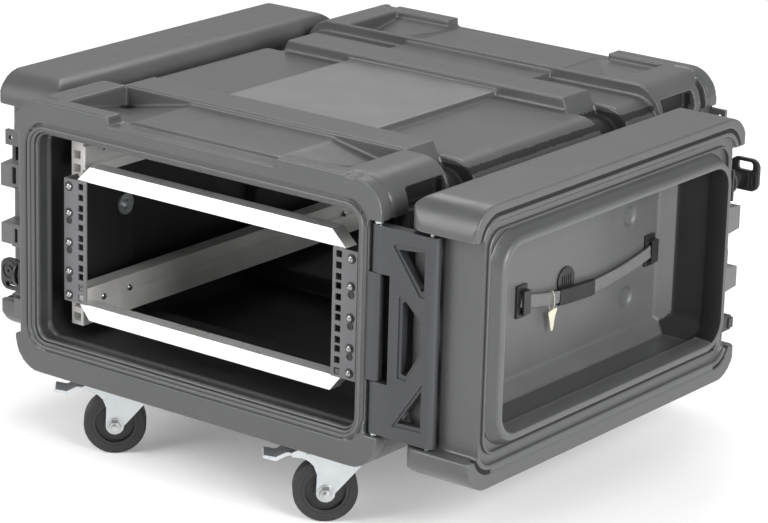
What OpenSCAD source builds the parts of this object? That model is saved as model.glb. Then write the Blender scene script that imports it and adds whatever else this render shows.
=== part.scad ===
// Shock-mounted equipment rack case: rounded shell open at both ends, two gate-hinged doors, sprung rack frame, swivel casters.
// Millimetres. +X right, +Y rear, +Z up. Origin on the floor under the middle of the case body.

/* [Case] */
// Length of the case body, front rim to rear rim
case_l = 816; // [806:2:840]
// Height of the transverse ribs on the roof
rib_top = 200; // [196:0.5:202]
// Depth of the roof wells at their deepest corner
well_d = 32; // [20:1:36]

/* [Doors] */
// Thickness of the door's outer panel
door_panel = 19; // [12:1:22]
// Radius of the hinge pins
pin_r = 3; // [2.6:0.1:3.4]
// Radius of the vent in the door panel
vent_r = 16; // [12:1:18]

/* [Rack frame] */
// Thickness of the rack rails
rail_t = 3; // [2:0.5:4]
// Side of the square cage-nut holes
nut_hole = 9.5; // [9:0.1:9.8]

/* [Casters] */
// Wheel diameter
wheel_d = 90; // [88:1:100]
// Wheel width
wheel_w = 32; // [28:1:34]
// Radius of the wheel axles
axle_r = 5; // [4:0.5:6]

/* [Hidden] */
$fn = 48;
L = case_l;
floor_h = 320;
hw = 328;
zt = 200;
zb = -204;
z_mid = 187;
z_body = 181;
// hinge pivots, measured from the front right corner of the case
ax = 317;
ay = 11;
arm_r = 87;
// half width at the latch-side recess
hs = hw - 9;
gap = 0.05;
// wheel centre height and caster geometry
wz = -floor_h + wheel_d / 2;
trail = 34;
plate_z = zb;
// caster kingpins [x, y] and swivel angle
CFL = [-170, 90, 221];
CFR = [222, 84, 221];
CRL = [-196, L - 90, 217.15];
CRR = [196, L - 90, 217.15];
ZIN = [0.72, 0.72, 0.7];
BLK = [0.12, 0.12, 0.12];
SHELL = [0.32, 0.32, 0.32];

module place() translate([0, -L / 2, floor_h]) children();
// extrude an X-Z outline between two y positions
module yx(y0, y1) translate([0, y1, 0]) rotate([90, 0, 0]) linear_extrude(y1 - y0) children();
// outline of a rectangle with round corners
module rr(x0, z0, x1, z1, r) {
  translate([x0 + r, z0]) square([x1 - x0 - 2 * r, z1 - z0]);
  translate([x0, z0 + r]) square([x1 - x0, z1 - z0 - 2 * r]);
  for (x = [x0 + r, x1 - r], z = [z0 + r, z1 - r]) translate([x, z]) circle(r);
}
// outline of a rectangle with cut corners
module oct(x0, z0, x1, z1, c) polygon([[x0 + c, z0], [x1 - c, z0], [x1, z0 + c], [x1, z1 - c], [x1 - c, z1], [x0 + c, z1], [x0, z1 - c], [x0, z0 + c]]);
// half turn about the vertical through the middle of the case
module half_turn() translate([0, L, 0]) rotate([0, 0, 180]) children();
// extrude a Y-Z outline between two x positions
module xe(x0, x1) translate([x0, 0, 0]) rotate([90, 0, 90]) linear_extrude(x1 - x0) children();
// cylinder along X, from x0 to x1
module xcyl(x0, x1, r) translate([x0, 0, 0]) rotate([0, 90, 0]) cylinder(h = x1 - x0, r = r);
// cylinder along Y, from y0 to y1
module ycyl(y0, y1, r) translate([0, y0, 0]) rotate([-90, 0, 0]) cylinder(h = y1 - y0, r = r);

// ---------------- case body ----------------
module case_end_cuts() {
  // lowered middle of the top edge and roof behind it
  translate([-150, -1, z_mid]) cube([300, 31, 40]);
  translate([-134, 29, 191]) cube([268, 121, 40]);
  // wells that slope down towards the rib and the corner block
  for (s = [0, 1]) mirror([s, 0, 0]) intersection() {
    yx(29, 150) polygon([[130, 189.5], [248, zt - well_d], [248, 240], [130, 240]]);
    xe(129, 260) polygon([[28, 189], [151, zt - well_d], [151, 240], [28, 240]]);
  }
  // crease between the rim flange and the corner blocks
  difference() {
    yx(22, 26) difference() { rr(-340, -220, 340, 220, 50); rr(-324, -200, 324, 196, 42); }
    translate([-262, 10, 100]) cube([524, 30, 140]);
  }
  // shallow recess on the latch side
  translate([-340, -1, -153]) cube([21, 59, 299]);
  // pocket in the shoulder of each corner block
  for (s = [-1, 1]) translate([s * 323 - 17, 60, 150]) cube([34, 84, 28]);
  // hinge-side recess
  translate([306, -1, -153]) cube([40, 61, 299]);
  // shallow scoop in the corner ledge
  translate([276, 8, zt + 3]) cylinder(h = 12, r = 11, center = true);
}
module case_shell() color(SHELL) place() {
  difference() {
    union() {
      yx(0, 150) rr(-hw, zb, hw, zt, 46);
      yx(120, L - 120) rr(-312, -192, 312, 164, 40);
      yx(213, 520) rr(-hw, -200, hw, z_body, 44);
      translate([-136, 212, z_body - 2]) cube([272, 309, 192 - z_body]);
      yx(585, L - 156) rr(-hw, -200, hw, z_body, 44);
      translate([-134, 584, z_body - 2]) cube([268, L - 739, 192.5 - z_body]);
      yx(L - 156, L) rr(-hw, zb, hw, zt, 46);
      yx(149, 214) polygon([[-272, 158], [-252, rib_top], [252, rib_top], [272, 158]]);
      yx(519, 586) polygon([[-272, 158], [-252, rib_top], [252, rib_top], [272, 158]]);
      // raised bead round each opening
      yx(-3, 10) rr(-299, -163, 299, 163, 30);
      yx(L - 10, L + 3) rr(-299, -163, 299, 163, 30);
    }
    case_end_cuts();
    half_turn() case_end_cuts();
    // channel between the rear corner blocks and the rear flange
    for (s = [-1, 1]) translate([s * 323 - 17, L - 44, 110]) cube([34, 14, 96]);
    // openings and hollow
    yx(-5, 60) rr(-286, -151, 286, 151, 18);
    yx(-5, 30) rr(-290, -155, 290, 155, 20);
    yx(L - 60, L + 5) rr(-286, -151, 286, 151, 18);
    yx(L - 30, L + 5) rr(-290, -155, 290, 155, 20);
    yx(36, L - 36) rr(-302, -158, 302, 155, 50);
    yx(226, 507) rr(-314, -186, 314, 171, 40);
  }
}
module knuckle() {
  difference() {
    union() {
      translate([ax, ay, -75]) cylinder(h = 150, r = 8);
      translate([306, ay - 8, -75]) cube([ax - 306, 16, 150]);
      translate([306, ay - 8, -60]) cube([5, 46, 120]);
    }
    translate([ax, ay, -80]) cylinder(h = 160, r = pin_r);
  }
}
module case_knuckle_front() color(BLK) place() knuckle();
module case_knuckle_rear() color(BLK) place() half_turn() knuckle();
module pin_a() {
  translate([ax, ay, -149.5]) cylinder(h = 291, r = pin_r);
  translate([ax, ay, 141.5]) cylinder(h = 3, r = 6);
  translate([ax, ay, -152.5]) cylinder(h = 3, r = 6);
}
module hinge_pin_case_front() color(ZIN) place() pin_a();
module hinge_pin_case_rear() color(ZIN) place() half_turn() pin_a();

// ---------------- gate arm: pivot A at the origin, pivot B at [arm_r, 0] ----------------
module arm() {
  difference() {
    union() {
      // plate with raised border
      difference() {
        translate([2, -8, -149]) cube([arm_r + 3, 16, 290]);
        for (s = [0, 1]) mirror([0, s, 0]) {
          yx(-9, -6) polygon([[30, 117], [33, 121], [82, 124], [82, 56], [74, 57]]);
          yx(-9, -6) polygon([[41, 50], [53, 51], [82, 22], [82, -19], [56, -63], [41, -62]]);
          yx(-9, -6) polygon([[82, -62], [82, -129], [34, -131]]);
        }
      }
      for (z = [76, -149]) translate([0, 0, z]) cylinder(h = z > 0 ? 65 : 73, r = 8);
      translate([arm_r + 5, 0, -149]) cylinder(h = 290, r = 8);
    }
    // room for the case knuckle
    translate([-9, -12, -75.5]) cube([34, 24, 151]);
    // lightening windows
    yx(-12, 12) polygon([[37, 114], [80, 118], [80, 67], [76, 64]]);
    yx(-12, 12) polygon([[46, 43], [51, 46], [80, 18], [80, -15], [54, -57], [46, -55]]);
    yx(-12, 12) polygon([[80, -72], [80, -123], [42, -125]]);
    // bores
    translate([0, 0, -151]) cylinder(h = 294, r = pin_r + gap);
    translate([arm_r, 0, -151]) cylinder(h = 294, r = pin_r + gap);
  }
}
module gate_arm_front() color(BLK) place() translate([ax, ay, 0]) arm();
module gate_arm_rear() color(BLK) place() half_turn() translate([ax, ay, 0]) rotate([0, 0, 45]) arm();

// ---------------- door: pivot B at the origin, outer face at x = -38, rim at x = 75 ----------------
dr = 75;
dy0 = -11;
dy1 = 645;
dc = 317;
module at_front_door() place() translate([ax + arm_r, ay, 0]) children();
module at_rear_door() place() half_turn() translate([ax + arm_r * cos(45), ay + arm_r * sin(45), 0]) children();
module door_shell() {
  difference() {
    intersection() {
      xe(-38, dr) rr(dy0, -200, dy1, 192, 46);
      // rounded outer edges, seen from above
      translate([0, 0, -210]) linear_extrude(420) union() {
        translate([-8, dy0]) square([dr + 4, 656]);
        translate([-38, dy0 + 30]) square([60, 596]);
        for (y = [dy0 + 30, dy1 - 30]) translate([-8, y]) circle(30);
        translate([60, dy0 + 4]) square([15, 648]);
      }
      // rounded outer edges, seen from the side
      yx(dy0 - 1, dy1 + 1) union() {
        translate([-8, -200]) square([dr + 8, 392]);
        translate([-38, -170]) square([60, 332]);
        for (z = [-170, 162]) translate([-8, z]) circle(30);
      }
    }
    // hollow and stepped rim
    intersection() {
      xe(-38 + door_panel, dr + 1) oct(dc - 268, -134, dc + 268, 134, 26);
      yx(dy0, dy1) polygon([[dr + 1, -140], [dr + 1, 140], [6, 136], [-38 + door_panel, 114], [-38 + door_panel, -114], [6, -136]]);
      translate([0, 0, -180]) linear_extrude(360) polygon([[dr + 1, dc - 270], [6, dc - 270], [-38 + door_panel, dc - 250], [-38 + door_panel, dc + 250], [6, dc + 270], [dr + 1, dc + 270]]);
    }
    xe(dr - 12, dr + 1) oct(dc - 276, -141, dc + 276, 141, 28);
    xe(dr - 9, dr + 1) rr(dc - 290, -154, dc + 290, 154, 26);
    xe(dr - 6, dr + 1) rr(dc - 303, -167, dc + 303, 167, 30);
    // groove for the seal
    difference() {
      xe(dr - 8, dr + 1) rr(dc - 315, -179, dc + 315, 179, 40);
      xe(dr - 9, dr + 2) rr(dc - 310, -174, dc + 310, 174, 36);
    }
    // side recesses between the corner blocks
    translate([-40, dy0 - 1, -153]) cube([120, 25, 299]);
    translate([0, 0, -153]) cylinder(h = 299, r = 16.5);
    translate([-40, dy1 - 27, -153]) cube([120, 30, 299]);
    // pin holes
    translate([0, 0, -176]) cylinder(h = 342, r = pin_r);
    // rim relief beside the hinge
    translate([dr - 3, dy0 - 1, -210]) cube([5, 5, 420]);
    // vent hole
    translate([0, 337, -3]) xcyl(-40, 0, vent_r);
    // dimples in the panel
    for (z = [53, -66]) translate([0, 495, z]) xcyl(-38 + door_panel - 4, 10, 14);
  }
}
module gasket() difference() {
  xe(dr - 8, dr - 2) rr(dc - 315, -179, dc + 315, 179, 40);
  xe(dr - 9, dr + 2) rr(dc - 310, -174, dc + 310, 174, 36);
  translate([dr - 9, dy0, -153]) cube([20, 24, 299]);
  translate([dr - 9, dy1 - 27, -153]) cube([20, 29, 299]);
}
module pin_b() translate([0, 0, -176]) cylinder(h = 342, r = pin_r);
// twist latch base plate and its turned handle, on a face that looks along +Y
module latch_base() difference() {
  union() {
    translate([-22, 0, -23]) cube([44, 4, 46]);
    ycyl(4, 14, 15);
  }
  ycyl(8, 20, 9 + gap);
}
module twist_handle(out = 41) {
  ycyl(8, 18, 9);
  difference() {
    ycyl(14.5, 20, 20);
    translate([0, 0, 0]) ycyl(14, 16, 15.6);
  }
  translate([-3.5, 19, -26]) cube([7, out - 19, 52]);
}
// taller turned handle whose slotted paddle reaches past the door rim
module twist_paddle() {
  ycyl(8, 46.5, 9);
  ycyl(14.5, 20, 20);
  difference() {
    translate([-12, 46, -26]) cube([52, 6, 52]);
    translate([12, 45, 10]) cube([14, 8, 9]);
    translate([30, 45, -17]) cube([4, 8, 20]);
    translate([14, 45, -19]) cube([10, 8, 16]);
  }
}
module keeper() difference() {
  union() {
    translate([-14, 0, -20]) cube([28, 4, 40]);
    translate([-8, 3, -14]) cube([16, 10, 28]);
    translate([8, 0, -20]) cube([4, 20, 40]);
  }
  translate([-4, 8, -9]) cube([8, 8, 18]);
}
module door_shell_front() color(SHELL) at_front_door() door_shell();
module door_shell_rear() color(SHELL) at_rear_door() door_shell();
module gasket_front() color(BLK) at_front_door() gasket();
module gasket_rear() color(BLK) at_rear_door() gasket();
module hinge_pin_door_front() color(ZIN) at_front_door() pin_b();
module hinge_pin_door_rear() color(ZIN) at_rear_door() pin_b();
module on_door_edge(x, z) translate([x, dy1 - 27, z]) children();
module latch_base_door_front() color(BLK) at_front_door() on_door_edge(50, 90) latch_base();
module latch_base_door_rear() color(BLK) at_rear_door() on_door_edge(30, 90) latch_base();
module twist_latch_door_front() color(ZIN) at_front_door() on_door_edge(50, 90) twist_paddle();
module twist_latch_door_rear() color(ZIN) at_rear_door() on_door_edge(30, 90) twist_handle();
module keeper_door_front() color(BLK) at_front_door() on_door_edge(30, -122) keeper();
module keeper_door_rear() color(BLK) at_rear_door() on_door_edge(30, -122) keeper();
module vent() difference() {
  union() {
    translate([0, 337, -3]) xcyl(-38, -38 + door_panel, vent_r);
    translate([0, 337, -3]) xcyl(-38 + door_panel, -38 + door_panel + 3, vent_r + 4);
  }
  for (k = [-2:2]) translate([-45, 337 + k * 5 - 1, -3 - 8]) cube([60, 2, 16]);
}
module vent_front() color(BLK) at_front_door() vent();
module vent_rear() color(BLK) at_rear_door() vent();
// strap hung inside the front door
pf = -38 + door_panel;
sR = 520;
module strap_brackets() color(BLK) at_front_door() for (y = [230, 546]) difference() {
  union() {
    translate([pf, y - 12, -30]) cube([4, 24, 46]);
    translate([pf, y - 8, -24]) cube([13, 16, 34]);
  }
  translate([pf + 6, y - 9, -21]) cube([4, 18, 28]);
}
module strap_arc(r0, r1, x0, x1, y0, y1) intersection() {
  translate([0, 388, sR - 30]) difference() { xcyl(x0, x1, r1); xcyl(x0 - 1, x1 + 1, r0); }
  translate([x0 - 1, y0, -60]) cube([x1 - x0 + 2, y1 - y0, 80]);
}
module strap_webbing() color([0.5, 0.5, 0.48]) at_front_door() strap_arc(sR - 9, sR + 9, pf + 7, pf + 9, 223, 553);
module strap_sleeve() color(BLK) at_front_door() difference() {
  strap_arc(sR - 12, sR + 12, pf + 5, pf + 11, 313, 393);
  strap_arc(sR - 9, sR + 9, pf + 7, pf + 9, 305, 400);
}
module hang_tag() color([0.85, 0.83, 0.75]) at_front_door() difference() {
  translate([pf + 9.2, 281, -68]) cube([1.5, 22, 42]);
  translate([pf + 8, 292, -31]) rotate([0, 90, 0]) cylinder(h = 5, r = 2);
}

// ---------------- hardware on the case sides ----------------
// local +Y looks out of the left side at the front; the rear right set is its half turn
module on_case_side(z) translate([-hs, 24, z]) rotate([0, 0, 90]) children();
module latch_bases_case() color(BLK) place() { on_case_side(-70) latch_base(); half_turn() on_case_side(-70) latch_base(); }
module twist_latch_case_front() color(ZIN) place() on_case_side(-70) twist_handle(56);
module twist_latch_case_rear() color(ZIN) place() half_turn() on_case_side(-70) twist_handle(56);
module case_keeper() {
  difference() {
    union() {
      translate([-hs - 4, 4, 56]) cube([4, 30, 90]);
      translate([-hs - 26, 6, 62]) cube([22, 20, 34]);
      translate([-hs - 33, 8, 122]) cube([29, 6, 22]);
    }
    translate([-hs - 18, 4, 67]) cube([7, 30, 24]);
    translate([-hs - 23, 0, 133]) rotate([-90, 0, 0]) cylinder(h = 24, r = 3.5);
  }
  difference() {
    translate([-hs - 20, 6, -27]) cube([20, 22, 34]);
    translate([-hs - 14, 4, -20]) cube([5, 30, 20]);
  }
  translate([-hs - 16, 6, -130]) cube([16, 22, 26]);
}
module keepers_case() color(BLK) place() { case_keeper(); half_turn() case_keeper(); }

// ---------------- shock mounts and rack frame ----------------
module each_mount() for (s = [-1, 1], y = [112, L - 112], z = [-96, 92]) translate([0, y, z]) mirror([s < 0 ? 1 : 0, 0, 0]) children();
module shock_mounts() color(BLK) place() {
  each_mount() difference() { xcyl(274 + gap, 302, 12); xcyl(277, 303, 4); }
}
module shock_mount_bolts() color(ZIN) place() {
  each_mount() xcyl(277, 302, 4);
  // wall bolts with washers beside the rails
  for (s = [0, 1], y = [207, L - 207]) translate([0, y, 0]) mirror([s, 0, 0]) { xcyl(299, 302, 16); xcyl(294, 299, 7); }
}
module rail() difference() {
  union() {
    translate([222, 0, -98]) cube([42, rail_t, 182]);
    translate([264 - rail_t, 0, -98]) cube([rail_t, 27, 182]);
  }
  for (u = [0:3], o = [6.35, 22.225, 38.1]) translate([232.55 - nut_hole / 2, -1, -95.9 + u * 44.45 + o - nut_hole / 2]) cube([nut_hole, 6, nut_hole]);
}
module rails() for (s = [0, 1]) mirror([s, 0, 0]) rail();
module rack_rails_front() color([0.25, 0.25, 0.25]) place() translate([0, 35, 0]) rails();
module rack_rails_rear() color([0.25, 0.25, 0.25]) place() half_turn() translate([0, 35, 0]) rails();
// lower and upper grooved beams on one side
module side_beams() for (z = [-150, 80]) difference() {
  union() {
    translate([252, 62, z + (z < 0 ? 8 : 0)]) cube([22, L - 124, 56]);
    translate([248, 62, z + (z < 0 ? 30 : 12)]) cube([6, L - 124, 34]);
  }
  for (g = [40, 43]) translate([246, 60, z + (z < 0 ? g : g - 24)]) cube([3.5, L - 120, 1]);
  for (g = [14, 34]) translate([257, 60, z + (z < 0 ? g : g - 8)]) cube([13, L - 120, 12]);
}
module side_beams_right() color([0.7, 0.7, 0.7]) place() side_beams();
module side_beams_left() color([0.7, 0.7, 0.7]) place() mirror([1, 0, 0]) side_beams();
module cross_bars() {
  yx(38, 62) polygon([[-242, 84], [242, 84], [218, 107], [-218, 107]]);
  yx(38, 62) polygon([[-238, -98], [238, -98], [219, -121], [-219, -121]]);
}
module cross_bars_front() color([0.85, 0.85, 0.85]) place() cross_bars();
module cross_bars_rear() color([0.85, 0.85, 0.85]) place() half_turn() cross_bars();
module screw_set() for (s = [0, 1]) mirror([s, 0, 0]) for (z = [73, 34, -10, -53, -88]) translate([254, 0, z]) ycyl(32, 35, 4.5);
module frame_screws() color(ZIN) place() {
  screw_set();
  half_turn() screw_set();
  for (s = [0, 1]) mirror([s, 0, 0]) for (y = [100, 156, L - 100, L - 156], z = [-105, 119]) translate([0, y, z]) xcyl(244, 248, 5);
}

// ---------------- casters: kingpin axis at the origin, trail along +X ----------------
module at_caster(c) place() translate([c[0], c[1], 0]) rotate([0, 0, c[2]]) children();
module plate_of(c) place() translate([c[0], c[1], 0]) difference() {
  union() {
    translate([-52, -42, plate_z - 4]) cube([104, 84, 4]);
    translate([0, 0, plate_z - 7]) cylinder(h = 3, r = 26);
  }
  translate([0, 0, plate_z - 10]) cylinder(h = 12, r = 6);
  for (x = [-40, 40], y = [-30, 30]) translate([x, y, plate_z - 6]) cylinder(h = 8, r = 4);
}
module caster_plates() color(ZIN) for (c = [CFL, CFR, CRL, CRR]) plate_of(c);
module caster_kingpins() color(ZIN) for (c = [CFL, CFR, CRL, CRR]) at_caster(c) { translate([0, 0, plate_z - 10.5]) cylinder(h = 10.5, r = 6); translate([0, 0, plate_z - 13.4]) cylinder(h = 2.9, r = 9); }
module caster_bolts() color(ZIN) for (c = [CFL, CFR, CRL, CRR]) place() translate([c[0], c[1], 0]) for (x = [-40, 40], y = [-30, 30]) translate([x, y, 0]) {
  translate([0, 0, plate_z - 4]) cylinder(h = 4, r = 4);
  translate([0, 0, plate_z - 6.9]) cylinder(h = 2.9, r = 7);
}
fork_w = 18.5;
module fork_leg() translate([0, 3.5, 0]) yx(0, 3.5) union() {
  polygon([[-20, plate_z - 7.05], [46, plate_z - 7.05], [46, plate_z - 24], [trail + 13, wz], [trail - 13, wz], [-20, plate_z - 24]]);
  translate([trail, wz]) circle(13);
}
module fork() difference() {
  union() {
    for (s = [0, 1]) mirror([0, s, 0]) translate([0, fork_w - 3.5, 0]) fork_leg();
    translate([-20, -fork_w, plate_z - 10.45]) cube([66, 2 * fork_w, 3.4]);
    translate([0, 0, plate_z - 10.45]) cylinder(h = 3.4, r = 24);
  }
  translate([0, 0, plate_z - 20]) cylinder(h = 20, r = 6 + gap);
  translate([trail, 0, wz]) ycyl(-40, 40, axle_r);
}
module braked_fork() difference() {
  union() {
    fork();
    for (s = [0, 1]) mirror([0, s, 0]) translate([0, fork_w, 0]) yx(0, 3.5) union() {
      polygon([[40, plate_z - 7.05], [74, plate_z - 8.5], [83, plate_z - 13], [81, plate_z - 18], [66, plate_z - 20], [58, plate_z - 24], [51, plate_z - 31], [47, plate_z - 42], [40, plate_z - 44]]);
    }
  }
  translate([59, 0, plate_z - 15]) ycyl(-40, 40, 2.5 + gap);
}
module axle() {
  translate([trail, 0, wz]) {
    ycyl(-30, 30, axle_r);
    for (s = [0, 1]) mirror([0, s, 0]) { ycyl(22, 24, 12); translate([0, 24, 0]) rotate([-90, 0, 0]) cylinder(h = 8, r = 9, $fn = 6); ycyl(32, 38, axle_r); }
  }
}
module hub() translate([trail, 0, wz]) difference() {
  union() {
    ycyl(-wheel_w / 2 + 2, wheel_w / 2 - 2, wheel_d / 2 - 12);
    ycyl(-17.4, 17.4, 13);
  }
  for (s = [0, 1]) mirror([0, s, 0]) difference() { ycyl(7, 20, wheel_d / 2 - 17); ycyl(6, 21, 16); }
  ycyl(-40, 40, axle_r + gap);
}
module tread() translate([trail, 0, wz]) rotate([90, 0, 0]) rotate_extrude() {
  w = wheel_w / 2;
  r0 = wheel_d / 2 - 12;
  translate([r0, -w + 2]) square([8, 2 * w - 4]);
  translate([r0 + 4, -w + 4]) square([8, 2 * w - 8]);
  for (s = [-1, 1]) translate([r0 + 8, s * (w - 6)]) circle(4);
}
module fork_front_left() color(ZIN) at_caster(CFL) braked_fork();
module fork_front_right() color(ZIN) at_caster(CFR) braked_fork();
module fork_rear_left() color(ZIN) at_caster(CRL) fork();
module fork_rear_right() color(ZIN) at_caster(CRR) fork();
module axle_front_left() color(ZIN) at_caster(CFL) axle();
module axle_front_right() color(ZIN) at_caster(CFR) axle();
module axle_rear_left() color(ZIN) at_caster(CRL) axle();
module axle_rear_right() color(ZIN) at_caster(CRR) axle();
module wheel_hub_front_left() color(BLK) at_caster(CFL) hub();
module wheel_hub_front_right() color(BLK) at_caster(CFR) hub();
module wheel_hub_rear_left() color(BLK) at_caster(CRL) hub();
module wheel_hub_rear_right() color(BLK) at_caster(CRR) hub();
module tread_front_left() color(BLK) at_caster(CFL) tread();
module tread_front_right() color(BLK) at_caster(CFR) tread();
module tread_rear_left() color(BLK) at_caster(CRL) tread();
module tread_rear_right() color(BLK) at_caster(CRR) tread();
module pedal() translate([59, 0, plate_z - 15]) {
  ycyl(-24, 24, 2.5);
  translate([-2, -14, -2]) cube([22, 28, 4]);
  yx(-17, 17) polygon([[18, 1.9], [30, 1.9], [44, -5], [60, -2], [62, -6], [44, -11], [28, -3], [18, -2]]);
}
module brake_pedal_left() color(BLK) at_caster(CFL) pedal();
module brake_pedal_right() color(BLK) at_caster(CFR) pedal();

case_shell();
case_knuckle_front();
case_knuckle_rear();
hinge_pin_case_front();
hinge_pin_case_rear();
latch_bases_case();
keepers_case();
shock_mounts();
shock_mount_bolts();
caster_plates();
caster_kingpins();
caster_bolts();
rack_rails_front();
rack_rails_rear();
side_beams_left();
side_beams_right();
cross_bars_front();
cross_bars_rear();
frame_screws();
gate_arm_front();
gate_arm_rear();
door_shell_front();
gasket_front();
hinge_pin_door_front();
latch_base_door_front();
keeper_door_front();
vent_front();
strap_brackets();
strap_webbing();
strap_sleeve();
hang_tag();
door_shell_rear();
gasket_rear();
hinge_pin_door_rear();
latch_base_door_rear();
keeper_door_rear();
vent_rear();
twist_latch_case_front();
twist_latch_case_rear();
twist_latch_door_front();
twist_latch_door_rear();
fork_front_left();
fork_front_right();
fork_rear_left();
fork_rear_right();
axle_front_left();
axle_front_right();
axle_rear_left();
axle_rear_right();
wheel_hub_front_left();
wheel_hub_front_right();
wheel_hub_rear_left();
wheel_hub_rear_right();
tread_front_left();
tread_front_right();
tread_rear_left();
tread_rear_right();
brake_pedal_left();
brake_pedal_right();
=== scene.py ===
"""Moulded rack case on casters, with both end doors unhinged from the rims.

Row frame: metres, floor at z = 0, case centred on x and y. The front rim faces -y.
The front door lies back along the right side (+x), hollow side out. The rear end is the
front end given a half turn about z, except that its door hangs at 45 degrees.
Sizes below are in mm unless a comment says otherwise.
"""
import math

import bmesh
import bpy
from mathutils import Matrix, Vector

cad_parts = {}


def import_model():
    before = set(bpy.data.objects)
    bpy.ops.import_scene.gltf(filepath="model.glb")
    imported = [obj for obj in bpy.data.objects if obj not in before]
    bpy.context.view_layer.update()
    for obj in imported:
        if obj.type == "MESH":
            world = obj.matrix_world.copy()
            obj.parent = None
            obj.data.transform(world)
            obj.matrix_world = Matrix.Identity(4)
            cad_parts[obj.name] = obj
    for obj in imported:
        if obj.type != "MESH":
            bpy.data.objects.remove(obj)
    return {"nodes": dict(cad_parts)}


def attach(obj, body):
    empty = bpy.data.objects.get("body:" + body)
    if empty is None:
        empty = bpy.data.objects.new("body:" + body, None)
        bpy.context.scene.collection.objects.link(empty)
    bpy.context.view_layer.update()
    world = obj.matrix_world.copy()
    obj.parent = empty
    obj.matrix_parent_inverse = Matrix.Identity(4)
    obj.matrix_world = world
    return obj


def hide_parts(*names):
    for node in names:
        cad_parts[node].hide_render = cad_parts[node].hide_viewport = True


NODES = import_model()["nodes"]
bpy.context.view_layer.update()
scene = bpy.context.scene

# ------------------------------------------------------------------ driving sizes
LENGTH = 816.0                 # front rim to rear rim
OPENING_Z = 320                # middle of the opening above the floor
PIVOT_X, PIVOT_Y = 317, 11     # hinge pin on the case
ARM = 87                       # hinge pin on the case to hinge pin on the door
DOOR_MID_Y = 317               # middle of the door from its hinge pin
PANEL_X = -19.0                # depth datum of the strap in the front door


# ------------------------------------------------------------------ frames
def case_point(x, y, z):
    """Case mm (x from the middle, y from the front rim, z from mid opening) to the row frame."""
    return Vector((x / 1000, (y - LENGTH / 2) / 1000, (z + OPENING_Z) / 1000))


def in_frame(matrix):
    """A function that takes mm in a local frame to the row frame."""
    return lambda x, y, z: matrix @ Vector((x / 1000, y / 1000, z / 1000))


def door_pin(degrees):
    """Frame on the door hinge pin, with the arm swung this far from +x."""
    swing = math.radians(degrees)
    x, y = PIVOT_X + ARM * math.cos(swing), PIVOT_Y + ARM * math.sin(swing)
    return Matrix.Translation(case_point(x, y, 0))


HALF_TURN = Matrix.Rotation(math.pi, 4, "Z")
FRONT_DOOR = door_pin(0)
REAR_DOOR = HALF_TURN @ door_pin(45)
IN_FRONT_DOOR = FRONT_DOOR.inverted()
FRONT_TO_REAR_DOOR = REAR_DOOR @ IN_FRONT_DOOR

CASE_ENDS = (("front", Matrix.Identity(4)), ("rear", HALF_TURN))
DOOR_ENDS = (("front", Matrix.Identity(4)), ("rear", FRONT_TO_REAR_DOOR))

door_point = in_frame(FRONT_DOOR)      # x out of the hollow, y from hinge to free edge, z up


def case_rim(x, z, depth):
    """Point on a ring round the front opening, depth measured into the case."""
    return case_point(x, depth, z)


def door_rim(across, z, depth):
    """Point on a ring round the front door, depth measured along +x."""
    return door_point(depth, across + DOOR_MID_Y, z)


# ------------------------------------------------------------------ materials
BROAD_RANGE = (0.3, 0.7)       # noise values that reach the full swing of the patches
FINE_RANGE = (0.35, 0.65)      # the same for the grain
EDGE_RANGE = (0.515, 0.60)     # pointiness from flat to a fully lightened edge, a painted highlight
ROUGH_SWING = 0.08
BUMP_DISTANCE = 0.0004         # metres


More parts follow.
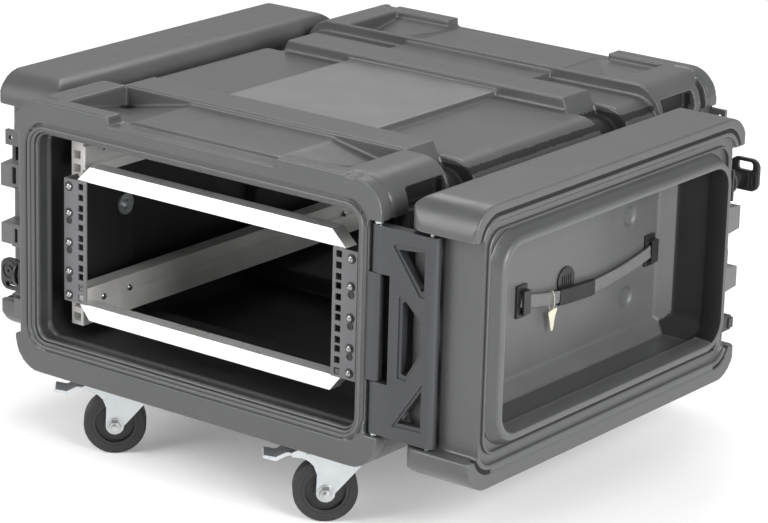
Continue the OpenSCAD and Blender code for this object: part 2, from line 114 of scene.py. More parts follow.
def material(name, color, rough, grain, bump, var, metal=0.0, patch=14.0, edge=0.0, spec=0.5,
             sheen=0.0, fine=0.0, stretch=None):
    """Principled material varied by broad patches and a fine grain.

    grain, patch: noise scales; var, fine: colour swing by patch and by grain;
    edge: how far raised edges go to a lighter colour, a painted highlight; stretch: scale of the
    grain per axis.
    """
    made = bpy.data.materials.new(name)
    made.use_nodes = True
    tree = made.node_tree

    def fill(node, values):
        """Sets each named input, or links it when the value is a socket."""
        for socket, value in values.items():
            if isinstance(value, bpy.types.NodeSocket):
                tree.links.new(value, node.inputs[socket])
            else:
                node.inputs[socket].default_value = value
        return node

    def add(kind, values, **settings):
        node = tree.nodes.new("ShaderNode" + kind)
        for setting, value in settings.items():
            setattr(node, setting, value)
        return fill(node, values)

    def remap(value, source, low, high):
        return add("MapRange", {"Value": value, "From Min": source[0], "From Max": source[1],
                                "To Min": low, "To Max": high}).outputs["Result"]

    def multiply(shade, noise, source, swing):
        """The colour times 1 - swing to 1 + swing."""
        level = remap(noise, source, 1 - swing, 1 + swing)
        grey = add("CombineColor", {"Red": level, "Green": level, "Blue": level})
        return add("Mix", {"Factor": 1.0, "A": shade, "B": grey.outputs["Color"]},
                   data_type="RGBA", blend_type="MULTIPLY").outputs["Result"]

    place = add("TexCoord", {}).outputs["Object"]
    grain_place = place
    if stretch:
        grain_place = add("Mapping", {"Vector": place, "Scale": stretch}).outputs["Vector"]
    patches = add("TexNoise", {"Scale": patch, "Detail": 6, "Vector": place}).outputs["Fac"]
    grains = add("TexNoise", {"Scale": grain, "Detail": 3, "Vector": grain_place}).outputs["Fac"]

    shade = multiply((*color, 1), patches, BROAD_RANGE, var)
    if fine:
        shade = multiply(shade, grains, FINE_RANGE, fine)
    # raised edges go lighter: a painted highlight
    if edge:
        edge_highlight = [min(1, c * 2.2 + 0.03) for c in color]
        pointed = add("NewGeometry", {}).outputs["Pointiness"]
        amount = remap(pointed, EDGE_RANGE, 0.0, edge)
        shade = add("Mix", {"Factor": amount, "A": shade, "B": (*edge_highlight, 1)},
                    data_type="RGBA").outputs["Result"]
    dull = remap(patches, BROAD_RANGE, rough - ROUGH_SWING, rough + ROUGH_SWING)
    relief = add("Bump", {"Strength": bump, "Distance": BUMP_DISTANCE, "Height": grains})
    principled = tree.nodes["Principled BSDF"]
    principled.inputs["Roughness"].default_value = rough
    fill(principled, {"Metallic": metal, "Specular IOR Level": spec, "Sheen Weight": sheen,
                      "Base Color": shade, "Roughness": dull, "Normal": relief.outputs["Normal"]})
    return made


LOOKS = {
    "shell": material("moulded_plastic", color=(0.064, 0.065, 0.066), rough=0.36, grain=900,
                      bump=0.35, var=0.07, edge=0.35, spec=0.55, fine=0.10),
    # same plastic made lighter on the door panel: painted light
    "door_panel_lit": material("moulded_plastic_inner_painted_light", color=(0.092, 0.094, 0.093), rough=0.40,
                        grain=900, bump=0.3, var=0.08, edge=0.3, fine=0.08),
    "arm": material("black_coated_steel", color=(0.028, 0.029, 0.031), rough=0.38, grain=1500,
                    bump=0.18, var=0.08, edge=0.35),
    "black": material("black_hardware", color=(0.014, 0.014, 0.015), rough=0.42, grain=1400,
                      bump=0.15, var=0.12, edge=0.25),
    # smoother plastic, lighter than the shell: a painted reflection
    "shell_top_reflection": material("moulded_plastic_smooth_painted_reflection", color=(0.135, 0.135, 0.133), rough=0.34,
                          grain=1000, bump=0.16, var=0.06, spec=0.8, fine=0.08),
    # same plastic darkened on the throat walls: painted shade
    "shell_throat_shade": material("moulded_plastic_inner_wall_painted_shade", color=(0.036, 0.037, 0.037), rough=0.45,
                          grain=900, bump=0.3, var=0.08, spec=0.4, fine=0.10),
    # same plastic darkened on the hollow's far wall: painted shade
    "door_wall_shade": material("moulded_plastic_far_wall_painted_shade", color=(0.024, 0.0245, 0.0245), rough=0.45,
                          grain=900, bump=0.3, var=0.08, spec=0.35, fine=0.10),
    # same plastic darkened on the lip's inner face: painted shade
    "lip_wall_painted_shade": material("moulded_plastic_lip_wall_painted_shade", color=(0.010, 0.0102, 0.0102), rough=0.5,
                         grain=900, bump=0.3, var=0.08, spec=0.25, fine=0.10),
    "shell_dark": material("moulded_plastic_shadow", color=(0.018, 0.018, 0.018), rough=0.55,
                           grain=900, bump=0.3, var=0.08, spec=0.3, fine=0.10),
    "zinc": material("zinc_plate", color=(0.56, 0.585, 0.60), rough=0.32, metal=0.85, grain=260,
                     bump=0.05, var=0.08, patch=40),
    "zinc_bright": material("zinc_bright", color=(0.50, 0.51, 0.51), rough=0.24, metal=1.0,
                            grain=500, bump=0.06, var=0.08, patch=60, edge=0.3),
    "screw": material("screw_zinc", color=(0.30, 0.30, 0.30), rough=0.25, metal=0.9, grain=500,
                      bump=0.05, var=0.12, patch=90, edge=0.4),
    "rubber": material("rubber", color=(0.012, 0.012, 0.012), rough=0.75, grain=1300, bump=0.3,
                       var=0.15, spec=0.3),
    "alu": material("bright_aluminium", color=(0.93, 0.93, 0.92), rough=0.30, metal=0.65,
                    grain=420, bump=0.05, var=0.03, stretch=(0.05, 1, 1)),
    "alu_dull": material("mill_aluminium", color=(0.80, 0.79, 0.77), rough=0.42, metal=0.35,
                         grain=420, bump=0.06, var=0.10, stretch=(1, 0.05, 1)),
    "rail": material("rail_coating", color=(0.118, 0.119, 0.123), rough=0.42, grain=1200,
                     bump=0.15, var=0.10, edge=0.3),
    "web": material("webbing", color=(0.105, 0.106, 0.106), rough=0.80, grain=1100, bump=0.7,
                    var=0.10, sheen=0.3, fine=0.35),
    "sleeve": material("sleeve_rubber", color=(0.015, 0.015, 0.015), rough=0.55, grain=1000,
                       bump=0.4, var=0.10),
    "tag": material("card_tag", color=(0.56, 0.53, 0.43), rough=0.7, grain=500, bump=0.1,
                    var=0.08, patch=120),
    "hub": material("moulded_hub", color=(0.016, 0.016, 0.016), rough=0.40, grain=900, bump=0.2,
                    var=0.10),
    "tyre": material("wheel_tread", color=(0.018, 0.018, 0.018), rough=0.60, grain=1000,
                     bump=0.3, var=0.15, edge=0.2),
}


# ------------------------------------------------------------------ objects
def link(mesh, name):
    made = bpy.data.objects.new(name, mesh)
    scene.collection.objects.link(made)
    return made


def smooth_by_angle(thing, degrees):
    with bpy.context.temp_override(object=thing, active_object=thing, selected_objects=[thing],
                                   selected_editable_objects=[thing]):
        bpy.ops.object.shade_smooth_by_angle(angle=math.radians(degrees))


def shade_smooth(thing, smooth=True):
    for face in thing.data.polygons:
        face.use_smooth = smooth


def to_object(bm, name, look=None, move=None, angle=35):
    """Object from a bmesh; edges sharper than the angle (degrees) stay sharp."""
    if move is not None:
        bm.transform(move)
    mesh = bpy.data.meshes.new(name)
    bm.to_mesh(mesh)
    bm.free()
    made = link(mesh, name)
    if look:
        mesh.materials.append(LOOKS[look])
    shade_smooth(made)
    if angle:
        smooth_by_angle(made, angle)
    return made


def apply_modifiers(thing):
    graph = bpy.context.evaluated_depsgraph_get()
    graph.update()
    mesh = bpy.data.meshes.new_from_object(thing.evaluated_get(graph))
    old = thing.data
    thing.modifiers.clear()
    thing.data = mesh
    bpy.data.meshes.remove(old)


def register(piece, body, slot, *nodes):
    """Tells the frame which body a piece rides on and the CAD nodes it replaces; the slot is not
    used.
    """
    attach(piece, body)
    if nodes:
        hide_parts(*nodes)


# ------------------------------------------------------------------ mesh building
def face_outward(bm):
    bmesh.ops.recalc_face_normals(bm, faces=bm.faces)
    return bm


def join(bm, part):
    """Moves the geometry of a second bmesh into the first."""
    carrier = bpy.data.meshes.new("carrier")
    part.to_mesh(carrier)
    bm.from_mesh(carrier)
    part.free()
    bpy.data.meshes.remove(carrier)


def skin(bm, rows, closed=False):
    """Joins each loop of vertices to the next; a loop of one vertex is a tip."""
    following = rows[1:] + (rows[:1] if closed else [])
    for row, after in zip(rows, following):
        for k in range(max(len(row), len(after))):
            corners = (row[k % len(row)], row[(k + 1) % len(row)],
                       after[(k + 1) % len(after)], after[k % len(after)])
            bm.faces.new(list(dict.fromkeys(corners)))


def corner_arcs(x0, z0, x1, z1, radius, steps):
    """(centre x, centre z, cos, sin) round the four corners of a rounded rectangle."""
    arcs = []
    for x, z, start in ((x1 - radius, z1 - radius, 0), (x0 + radius, z1 - radius, 90),
                        (x0 + radius, z0 + radius, 180), (x1 - radius, z0 + radius, 270)):
        for k in range(steps + 1):
            turn = math.radians(start + 90 * k / steps)
            arcs.append((x, z, math.cos(turn), math.sin(turn)))
    return arcs


def round_rect(x0, z0, x1, z1, radius):
    return [(x + radius * c, z + radius * s)
            for x, z, c, s in corner_arcs(x0, z0, x1, z1, radius, 8)]


def circle(x, z, radius, count=36):
    return [(x + radius * math.cos(2 * math.pi * k / count),
             z + radius * math.sin(2 * math.pi * k / count)) for k in range(count)]


def ring(bm, half_x, half_z, corner, section, put, steps=14):
    """A section of (outward, depth) points swept round a rounded rectangle."""
    rows = []
    for x, z, c, s in corner_arcs(-half_x, -half_z, half_x, half_z, corner, steps):
        rows.append([bm.verts.new(put(x + corner * c + c * out, z + corner * s + s * out, depth))
                     for out, depth in section])
    skin(bm, rows, closed=True)
    face_outward(bm)


def bead(bm, half_x, half_z, corner, depth, width, height, put, steps=14):
    """A ring of elliptical section."""
    turns = [2 * math.pi * k / 12 for k in range(12)]
    section = [(0.5 * width * math.cos(t), depth + 0.5 * height * math.sin(t)) for t in turns]
    ring(bm, half_x, half_z, corner, section, put, steps)


def box(bm, low, high, put):
    corners = [bm.verts.new(put(x, y, z))
               for x in (low[0], high[0]) for y in (low[1], high[1]) for z in (low[2], high[2])]
    for face in ((0, 1, 3, 2), (4, 6, 7, 5), (0, 4, 5, 1), (2, 3, 7, 6), (0, 2, 6, 4),
                 (1, 5, 7, 3)):
        bm.faces.new([corners[i] for i in face])


def lathe(bm, profile, put, count, axis="y", centre=(0, 0, 0)):
    """A profile of (radius, height) turned about a local x or y axis through the centre."""
    rows = []
    for radius, height in profile:
        row = []
        for k in range(count if radius > 0 else 1):
            turn = 2 * math.pi * k / count
            a, b = radius * math.cos(turn), radius * math.sin(turn)
            x, y = (a, height) if axis == "y" else (height, a)
            row.append(bm.verts.new(put(centre[0] + x, centre[1] + y, centre[2] + b)))
        rows.append(row)
    skin(bm, rows)


def framed_plate(bm, outer, window, low, high, put):
    """A flat plate with one window; both outlines have the same number of points."""
    outer_low, outer_high, inner_low, inner_high = [
        [bm.verts.new(put(u, v, depth)) for u, v in outline]
        for outline in (outer, window) for depth in (low, high)]
    for k in range(len(outer)):
        j = (k + 1) % len(outer)
        bm.faces.new((outer_low[k], outer_low[j], outer_high[j], outer_high[k]))
        bm.faces.new((inner_low[k], inner_high[k], inner_high[j], inner_low[j]))
        bm.faces.new((outer_high[k], outer_high[j], inner_high[j], inner_high[k]))
        bm.faces.new((outer_low[k], inner_low[k], inner_low[j], outer_low[j]))


# ------------------------------------------------------------------ moulded shells
def mould(node, name, cuts, voxel, keep):
    """Copy of a CAD shell, cut, then with its edges and inside corners rounded.

    voxel: remesh cell in metres; keep: share of the faces left after thinning.
    """
    source = NODES[node]
    bm = bmesh.new()
    bm.from_mesh(source.data)
    bm.transform(source.matrix_world)
    bmesh.ops.remove_doubles(bm, verts=bm.verts, dist=2e-6)
    shell = to_object(bm, name, "shell", angle=None)
    for cut in cuts:
        cutter = to_object(cut, name + "_cut", angle=None)
        boolean = shell.modifiers.new("cut", "BOOLEAN")
        boolean.operation = "DIFFERENCE"
        boolean.solver = "EXACT"
        boolean.object = cutter
        apply_modifiers(shell)
        bpy.data.objects.remove(cutter)
    skinned = shell.modifiers.new("skin", "REMESH")
    skinned.mode = "VOXEL"
    skinned.voxel_size = voxel
    soft = shell.modifiers.new("soft", "SMOOTH")
    soft.factor = 0.5
    soft.iterations = 5
    shell.modifiers.new("thin", "DECIMATE").ratio = keep
    apply_modifiers(shell)
    # restores the material if the modifiers dropped its slot
    if not shell.data.materials:
        shell.data.materials.append(LOOKS["shell"])
    shade_smooth(shell)
    return shell


def both_ends(bm):
    """Adds a copy at the rear end."""
    turned = bm.copy()
    turned.transform(HALF_TURN)
    join(bm, turned)
    return bm


# half width, half height, corner radius, depth, section width, section height
RIM_CREASE = (302.4, 166.4, 33, 0, 4.6, 13)
CASE_BEADS = ((298.2, 162.2, 30, -0.4, 5.0, 5.4), (289.4, 153.8, 21, 8.5, 5.0, 8.0))
DOOR_BEADS = ((298.3, 165.3, 29, 67.2, 4.6, 5.6), (289.2, 153.2, 25, 70.0, 4.2, 5.6))

CASE_LOOKS = ("shell_top_reflection", "shell_dark", "shell_throat_shade")      # slots 1 to 3, after the shell


def case_slot(x, y, z, normal_y):
    """Material slot of a case face, from its middle in case mm."""
    from_rim = min(y, LENGTH - y)
    wall_start = 37                                        # the inside walls start this far in
    if z > 188.2 and abs(x) < 135 and 216 < y < 517:       # patch on the top, lighter: smoother plastic with a painted reflection
        return 1
    if abs(x) < 318 and -186 <= z < 172 and from_rim > wall_start:        # inside the case
        return 2
    in_opening = abs(x) < 294 and abs(z) < 158
    if in_opening and 2 < from_rim <= wall_start and abs(normal_y) < 0.75:    # throat walls, darker: painted shade
        return 3
    return 0


def case_shell():
    """The raised land of each rim is cut off and a crease cut round it."""
    land = bmesh.new()
    box(land, (-340, -220, -9), (340, 220, 0.0), case_rim)
    face_outward(land)
    crease = bmesh.new()
    bead(crease, *RIM_CREASE, case_rim, steps=10)
    shell = mould("case_shell", "moulded_case", [both_ends(land), both_ends(crease)],
                  voxel=0.0021, keep=0.20)
    for look in CASE_LOOKS:
        shell.data.materials.append(LOOKS[look])
    for face in shell.data.polygons:
        x, y, z = face.center * 1000
        face.material_index = case_slot(x, y + LENGTH / 2, z - OPENING_Z, face.normal.y)
    register(shell, "case", "shell", "case_shell")


def case_rim_beads():
    """Two beads round each rim in place of the land."""
    for end, move in CASE_ENDS:
        bm = bmesh.new()
        for sizes in CASE_BEADS:
            bead(bm, *sizes, case_rim)
        beads = to_object(bm, "rim_beads_" + end, "shell", move)
        register(beads, "case", "shell")


def door_slot(middle, normal):
    """Material slot of a door face, from its middle in front door mm."""
    x, y, z = middle
    if x < 62 and abs(y - DOOR_MID_Y) < 272 and abs(z) < 142:
        if -24 < x < 40 and normal.x > 0.55:               # panel and sloping strip round it, lighter: painted light
            return 1
        if x > -20 and normal.y < -0.5:                    # wall that faces the hinge, darker: painted shade
            return 2
    return 0


def door_shells():
    """The front door, and its copy on the rear pin."""
    front = mould("door_shell_front", "moulded_door_front", [], voxel=0.0019, keep=0.22)
    for look in ("door_panel_lit", "door_wall_shade"):
        front.data.materials.append(LOOKS[look])
    for face in front.data.polygons:
        face.material_index = door_slot(IN_FRONT_DOOR @ face.center * 1000, face.normal)
    register(front, "front_door", "shell", "door_shell_front")
    mesh = front.data.copy()
    mesh.transform(FRONT_TO_REAR_DOOR)
    rear = link(mesh, "moulded_door_rear")
    register(rear, "rear_door", "shell", "door_shell_rear")


# inner lip, the proudest ring: (outward, depth), sloped outside, down to the hollow inside
LIP_SECTION = [(7.5, 58), (7.5, 68), (5.5, 70), (-0.5, 81), (-2.4, 84.4), (-4.6, 85.8),
               (-8.0, 86.0), (-11.2, 85.2), (-12.6, 82.6), (-14.6, 64), (-14.9, 58)]
BLOCK_X = (44, 72)
BLOCK_Y = (612, 643)
BLOCKS_Z = ((19, 58.5), (-68, -32))
BLOCK_TAPER = 3.0              # each end of a block draws in by this at the free edge


def edge_block(bm, low_z, high_z):
    """Block that narrows towards the free edge of the door."""
    def put(x, y, z):
        draw = BLOCK_TAPER if z == low_z else -BLOCK_TAPER
        return door_point(x, y, z + (draw if y == BLOCK_Y[1] else 0))

    box(bm, (BLOCK_X[0], BLOCK_Y[0], low_z), (BLOCK_X[1], BLOCK_Y[1], high_z), put)


def door_rim_beads():
    """Beads, inner lip and two moulded blocks on the free edge of each door."""
    for end, move in DOOR_ENDS:
        bm = bmesh.new()
        for sizes in DOOR_BEADS:
            bead(bm, *sizes, door_rim)
        ring(bm, 279.2, 142.0, 44, LIP_SECTION, door_rim)
        for low_z, high_z in BLOCKS_Z:
            edge_block(bm, low_z, high_z)
        face_outward(bm)
        bm.normal_update()
        # the lip by the free edge is darker where it faces the hinge: painted shade
        for face in bm.faces:
            middle = IN_FRONT_DOOR @ face.calc_center_median() * 1000
            if face.normal.y < -0.3 and 540 < middle.y < 592 and 57 < middle.x < 84.4:
                face.material_index = 1
        beads = to_object(bm, "door_rim_beads_" + end, "shell", move)
        beads.data.materials.append(LOOKS["lip_wall_painted_shade"])
        register(beads, end + "_door", "shell")


EDGE_CATCH = (((50, 612, -130), (70, 638, -108.5)), ((56, 630, -127), (72, 641, -112)))


def edge_catches():
    """Two overlapping boxes low on the free edge of each door."""
    for end, move in DOOR_ENDS:
        bm = bmesh.new()
        for low, high in EDGE_CATCH:
            box(bm, low, high, door_point)
            face_outward(bm)
        catch = to_object(bm, "edge_catch_" + end, "black", move)
        register(catch, end + "_door", "latch_plastic")


# ------------------------------------------------------------------ CAD nodes kept as they are
ENDS = ("front", "rear")
SIDES = ("left", "right")
CORNERS = ("front_left", "front_right", "rear_left", "rear_right")

# look, node stems, places that follow each stem
NODE_SETS = (
    ("arm", ("case_knuckle", "gate_arm"), ENDS),
    ("zinc", ("hinge_pin_case", "hinge_pin_door"), ENDS),
    ("black", ("keeper_door", "latch_base_door", "vent"), ENDS),
    ("rail", ("rack_rails",), ENDS),
    ("alu", ("cross_bars",), ENDS),
    ("rubber", ("gasket",), ENDS),
    ("zinc", ("brake_pedal",), SIDES),
    ("zinc", ("fork",), CORNERS),
    ("zinc_bright", ("axle",), CORNERS),
    ("hub", ("wheel_hub",), CORNERS),
    ("tyre", ("tread",), CORNERS),
)
SINGLE_NODES = {
    "latch_bases_case": "black", "keepers_case": "shell", "strap_brackets": "black",
    "shock_mounts": "rubber", "shock_mount_bolts": "zinc", "caster_plates": "zinc",
    "caster_kingpins": "zinc", "caster_bolts": "zinc",
}


def dress(node, look, soft=True):
    """Gives a CAD node its material and, when soft, bevelled edges."""
    thing = NODES[node]
    thing.data.materials.clear()
    thing.data.materials.append(LOOKS[look])
    thing.modifiers.new("weld", "WELD").merge_threshold = 0.000005
    shade_smooth(thing, soft)
    if soft:
        bevel = thing.modifiers.new("edge", "BEVEL")
        bevel.width = 0.0006
        bevel.segments = 2
        bevel.limit_method = "ANGLE"
        bevel.angle_limit = math.radians(38)
        bevel.miter_outer = "MITER_ARC"
        bevel.use_clamp_overlap = True
        thing.modifiers.new("shade", "WEIGHTED_NORMAL").keep_sharp = False


def dress_nodes():
    for look, stems, places in NODE_SETS:
        for stem in stems:
            for place in places:
                dress(f"{stem}_{place}", look)
    for node, look in SINGLE_NODES.items():
        dress(node, look)
    for side in SIDES:
        dress("side_beams_" + side, "alu_dull", soft=False)


# ------------------------------------------------------------------ strap in the front door
STRAP_MID_Y = 388.0
STRAP_HALF_SPAN = 158.0
STRAP_END_Z = -5.4
STRAP_SAG = 19.0
GRIP_X = PANEL_X + 8.6
OVERLAY_X = PANEL_X + 9.8
# share of half the width, share of half the thickness
STRAP_SECTION = (
    (-1, -0.5), (-0.94, -1), (-0.5, -1), (0, -1), (0.5, -1), (0.94, -1), (1, -0.5),
    (1, 0.5), (0.94, 1), (0.5, 1), (0, 1), (-0.5, 1), (-0.94, 1), (-1, 0.5),
)


def strap_z(y):
    """Parabola of the hanging strap."""
    return STRAP_END_Z - STRAP_SAG * (1 - ((y - STRAP_MID_Y) / STRAP_HALF_SPAN) ** 2)


def strap_strip(bm, start, end, x, width, thick, wobble, steps=64, lift=0.0):
    """Strip along the strap from y start to y end; wobble sets its ripple and bow."""
    rows = []
    for i in range(steps + 1):
        y = start + (end - start) * i / steps
        slope = (strap_z(y + 1) - strap_z(y - 1)) / 2
        run = math.hypot(1, slope)
        normal_y, normal_z = -slope / run, 1 / run
        bow = 0.9 * math.sin(i * 0.21 + 0.6) * wobble
        row = []
        for across_share, out_share in STRAP_SECTION:
            across, out = width / 2 * across_share, thick / 2 * out_share
            ripple = wobble * 0.55 * math.sin(i * 0.9 + across * 0.5) if out > 0 else 0.0
            row.append(bm.verts.new(door_point(x + out + ripple + bow, y + normal_y * across,
                                               strap_z(y) + normal_z * across + lift)))
        rows.append(row)
    skin(bm, rows)
    bm.faces.new(rows[0])
    bm.faces.new(rows[-1][::-1])


def strap():
    """One long web with a second layer towards each end, and a thick grip in the middle."""
    bm = bmesh.new()
    strap_strip(bm, 222, 553, x=PANEL_X + 8.0, width=18, thick=1.6, wobble=0.35)
    for start, end in ((234, 318), (388, 536)):
        strap_strip(bm, start, end, x=OVERLAY_X, width=16.5, thick=1.3, wobble=0.30, lift=0.8)
    web = to_object(face_outward(bm), "strap_web", "web", angle=50)
    register(web, "front_door", "webbing", "strap_webbing")
    bm = bmesh.new()
    strap_strip(bm, 311, 395, x=GRIP_X, width=23, thick=6.6, wobble=0.7, steps=40)
    grip = to_object(face_outward(bm), "strap_grip", "sleeve", angle=60)
    register(grip, "front_door", "rubber", "strap_sleeve")


# (y, z) in the door
TAG_OUTLINE = [(283, -33), (301, -31), (302.5, -33.5), (299, -45), (294.5, -61), (292, -63.5),
               (289.5, -61), (287, -48), (282, -36)]
TAG_FACE_X, TAG_BACK_X = PANEL_X + 12.4, PANEL_X + 11.7
CORD_Y, CORD_Z = 294, -21.0
CORD_HALF_X, CORD_HALF_Z = 5.0, 14.5
CORD_RADIUS = 0.6


def tag_card(bm):
    faces, backs = [], []
    for y, z in TAG_OUTLINE:
        curl = 0.9 * math.sin((z + 36) * 0.12)
        faces.append(bm.verts.new(door_point(TAG_FACE_X + curl, y, z)))
        backs.append(bm.verts.new(door_point(TAG_BACK_X + curl, y, z)))
    bm.faces.new(faces)
    bm.faces.new(backs[::-1])
    for k in range(len(faces)):
        j = (k + 1) % len(faces)
        bm.faces.new((faces[j], faces[k], backs[k], backs[j]))


def tag_cord(bm):
    """Oval loop of cord round the webbing."""
    rows = []
    for k in range(20):
        t = 2 * math.pi * k / 20
        x = GRIP_X + CORD_HALF_X * math.cos(t)
        z = CORD_Z + CORD_HALF_Z * math.sin(t)
        row = []
        for m in range(6):
            u = 2 * math.pi * m / 6
            out = CORD_RADIUS * math.cos(u)
            row.append(bm.verts.new(door_point(x + out * math.cos(t),
                                               CORD_Y + CORD_RADIUS * math.sin(u),
                                               z + out * math.sin(t))))
        rows.append(row)
    skin(bm, rows, closed=True)


def hang_tag():
    bm = bmesh.new()
    tag_card(bm)
    tag_cord(bm)
    tag = to_object(face_outward(bm), "cord_tag", "tag", angle=30)
    register(tag, "front_door", "tag", "hang_tag")


# ------------------------------------------------------------------ rack screws
RAIL_SCREW_X = 254
RAIL_SCREWS_Z = (73, 34, -10, -53, -88)
RINGED_SCREWS_Z = RAIL_SCREWS_Z[1:4]       # the middle three have a small ring below
RING_DROP = 11.5
SIDE_SCREWS_Y = (100, 156, LENGTH - 100, LENGTH - 156)
SIDE_SCREWS_Z = (-105, 119)
# (radius, y)
RAIL_HEAD = [(0, 30.2), (1.6, 30.2), (1.9, 30.8), (3.2, 31.0), (4.5, 32.0), (5.2, 33.4),
             (5.2, 34.9), (0, 34.9)]
WASHER = [(0, 33.9), (6.4, 33.9), (6.8, 34.3), (6.8, 35.0), (0, 35.0)]
SMALL_RING = [(0, 34.5), (3.0, 34.5), (3.3, 33.9), (4.8, 33.9), (5.2, 34.3), (5.2, 35.0),
              (0, 35.0)]
# (radius, distance from the middle plane)
SIDE_HEAD = [(0, 244), (3.2, 244.3), (4.8, 245.6), (5.0, 248), (0, 248)]


def rack_screws():
    """Domed heads on washers down the rails at both ends, and heads on the side beams."""
    heads, washers = bmesh.new(), bmesh.new()
    for end, turn in CASE_ENDS:
        def put(x, y, z):
            return turn @ case_point(x, y, z)

        for side in (-1, 1):
            x = side * RAIL_SCREW_X
            for z in RAIL_SCREWS_Z:
                lathe(heads, RAIL_HEAD, put, 24, centre=(x, 0, z))
                lathe(washers, WASHER, put, 24, centre=(x, 0, z))
                if z in RINGED_SCREWS_Z:
                    lathe(washers, SMALL_RING, put, 24, centre=(x, 0, z - RING_DROP))
            if end == "front":     # this pass covers the whole length of the beams
                profile = [(radius, side * out) for radius, out in SIDE_HEAD]
                for y in SIDE_SCREWS_Y:
                    for z in SIDE_SCREWS_Z:
                        lathe(heads, profile, put, 24, axis="x", centre=(0, y, z))
    head_piece = to_object(face_outward(heads), "screw_heads", "screw")
    register(head_piece, "rack_frame", "zinc", "frame_screws")
    washer_piece = to_object(face_outward(washers), "screw_washers", "black")
    register(washer_piece, "rack_frame", "zinc")


# ------------------------------------------------------------------ twist latches
# Each latch stands out along its local y.
CASE_LATCH = (Matrix.Translation(case_point(-319, 24, -70))
              @ Matrix.Rotation(math.radians(90), 4, "Z"))
DOOR_LATCH_Y, DOOR_LATCH_Z = 618, 90
# (radius, y) of the turned cup with a dished face, then of what stands in it
CUP = [(0, 8), (9, 8), (9, 14.2), (19, 14.2), (20, 15), (20, 18.6), (18.6, 20), (15.5, 20),
       (14.4, 18.2), (9, 17.6), (8.8, 18.4)]
BUTTON = [(6.5, 18.8), (6.5, 22.5), (5.6, 23.4), (0, 23.4)]
STEM = [(8.8, 46.6), (0, 46.6)]


def ring_bail(bm, point):
    """Upright plate with a slot low in its tail and two raised rings on its head."""
    def put(u, v, depth):
        return point(depth, v, u)

    framed_plate(bm, round_rect(-30, 17, 17, 56, 14), round_rect(-25.5, 28, -18, 46, 3.4),
                 -3.4, 3.4, put)
    rings = bmesh.new()
    for outer, inner, half_thick in ((15.0, 11.5, 4.8), (7.0, 2.2, 5.6)):
        framed_plate(rings, circle(-1, 39, outer), circle(-1, 39, inner),
                     -half_thick, half_thick, put)
    join(bm, rings)


def slotted_bail(bm, point):
    """Upright plate with one slot near its outer edge."""
    def put(u, v, depth):
        return point(depth, v, u)

    framed_plate(bm, round_rect(-26, 17, 26, 41, 9), round_rect(-12, 27, 17, 35, 3.6),
                 -3.4, 3.4, put)


def paddle_bail(bm, point):
    """Flat windowed paddle across the end of the stem, with two raised frames."""
    def put(u, v, depth):
        return point(u, depth, v)

    framed_plate(bm, round_rect(-12, -18, 36, 30, 13), round_rect(1, 12.5, 25.5, 25, 4),
                 46.2, 51.8, put)
    frames = bmesh.new()
    for outer, window in (((2, -15, 21, 10, 5), (7, -11, 16, 5, 3)),
                          ((22, -12, 33.5, 12, 5), (26, -8, 29, 7, 1.4))):
        framed_plate(frames, round_rect(*outer), round_rect(*window), 45.6, 52.4, put)
    join(bm, frames)


def twist_latch(place, frame, bail, centre=BUTTON):
    point = in_frame(frame)
    bm = bmesh.new()
    lathe(bm, CUP + centre, point, 48)
    bail(bm, point)
    latch = to_object(face_outward(bm), "bail_" + place, "black", angle=None)
    bevel = latch.modifiers.new("edge", "BEVEL")
    bevel.width = 0.0010
    bevel.segments = 2
    bevel.limit_method = "ANGLE"
    bevel.angle_limit = math.radians(40)
    apply_modifiers(latch)
    shade_smooth(latch)
    smooth_by_angle(latch, 40)
    # a place reads body_end, as in case_front
    body, end = place.split("_")
    register(latch, f"{body}_latch_{end}", "latch_plastic", "twist_latch_" + place)


def door_latch(x):
    return Matrix.Translation(Vector((x / 1000, DOOR_LATCH_Y / 1000, DOOR_LATCH_Z / 1000)))


def twist_latches():
    twist_latch("case_front", CASE_LATCH, ring_bail)
    twist_latch("case_rear", HALF_TURN @ CASE_LATCH, ring_bail)
    twist_latch("door_front", FRONT_DOOR @ door_latch(50), paddle_bail, STEM)
    twist_latch("door_rear", REAR_DOOR @ door_latch(30), slotted_bail)


# ------------------------------------------------------------------ camera, floor, light
CAMERA_AT = Vector((2833.10, -3298.49, 1401.36))           # case mm
CAMERA_TURN, CAMERA_DIP, CAMERA_ROLL = map(math.radians, (37.1457, 17.5235, 1.5373))


def camera():
    ahead = Vector((-math.sin(CAMERA_TURN) * math.cos(CAMERA_DIP),
                    math.cos(CAMERA_TURN) * math.cos(CAMERA_DIP), -math.sin(CAMERA_DIP)))
    level = Vector((math.cos(CAMERA_TURN), math.sin(CAMERA_TURN), 0))
    up = level.cross(ahead)
    right = math.cos(CAMERA_ROLL) * level + math.sin(CAMERA_ROLL) * up
    top = -math.sin(CAMERA_ROLL) * level + math.cos(CAMERA_ROLL) * up
    pose = Matrix((right, top, -ahead)).transposed().to_4x4()
    pose.translation = case_point(*CAMERA_AT)
    data = bpy.data.cameras.new("camera")
    data.sensor_width = 36
    data.lens = 156.18
    data.clip_end = 100
    made = link(data, "camera")
    made.matrix_world = pose
    scene.camera = made


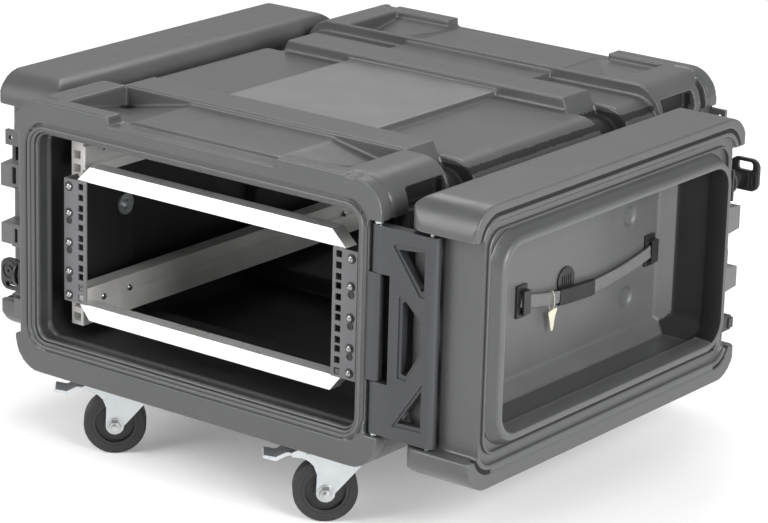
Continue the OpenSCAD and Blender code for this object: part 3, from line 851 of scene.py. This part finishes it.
def floor():
    """White floor that glows a little."""
    bm = bmesh.new()
    bmesh.ops.create_grid(bm, x_segments=2, y_segments=2, size=14)
    ground = to_object(bm, "floor", angle=None)
    ground.location.z = -0.0002
    white = bpy.data.materials.new("floor_white")
    white.use_nodes = True
    inputs = white.node_tree.nodes["Principled BSDF"].inputs
    for socket, value in {"Base Color": (0.93, 0.93, 0.93, 1), "Roughness": 0.9,
                          "Specular IOR Level": 0.1, "Emission Color": (1, 1, 1, 1),
                          "Emission Strength": 0.16}.items():
        inputs[socket].default_value = value
    ground.data.materials.append(white)


def area(name, at, target, size, power, size_y=None):
    """Area light aimed at a target; metres and watts."""
    data = bpy.data.lights.new(name, "AREA")
    data.energy = power
    data.size = size
    if size_y:
        data.shape = "RECTANGLE"
        data.size_y = size_y
    lamp = link(data, name)
    lamp.location = at
    lamp.rotation_mode = "QUATERNION"
    lamp.rotation_quaternion = (Vector(target) - Vector(at)).to_track_quat("-Z", "Y")


def world():
    """White surroundings, brighter to the camera than to the object."""
    sky = bpy.data.worlds.new("world")
    sky.use_nodes = True
    tree = sky.node_tree
    background = tree.nodes["Background"]
    background.inputs["Color"].default_value = (1, 1, 1, 1)
    path = tree.nodes.new("ShaderNodeLightPath")
    strength = tree.nodes.new("ShaderNodeMapRange")
    strength.inputs["To Min"].default_value = 0.56         # light on the object
    strength.inputs["To Max"].default_value = 1.05         # what the camera sees behind it
    tree.links.new(path.outputs["Is Camera Ray"], strength.inputs["Value"])
    tree.links.new(strength.outputs["Result"], background.inputs["Strength"])
    scene.world = sky


case_shell()
case_rim_beads()
door_shells()
door_rim_beads()
edge_catches()
dress_nodes()
strap()
hang_tag()
rack_screws()
twist_latches()
camera()
floor()
area("key", at=(-1.2, 1.6, 3.2), target=(0, 0, 0.4), size=2.2, power=42, size_y=1.6)
area("fill_left", at=(-1.6, -3.2, 2.1), target=(0, 0, 0.3), size=2.2, power=96)
area("fill_right", at=(3.6, -1.1, 1.6), target=(0.2, 0, 0.3), size=1.9, power=150)
world()
scene.view_settings.view_transform = "Standard"
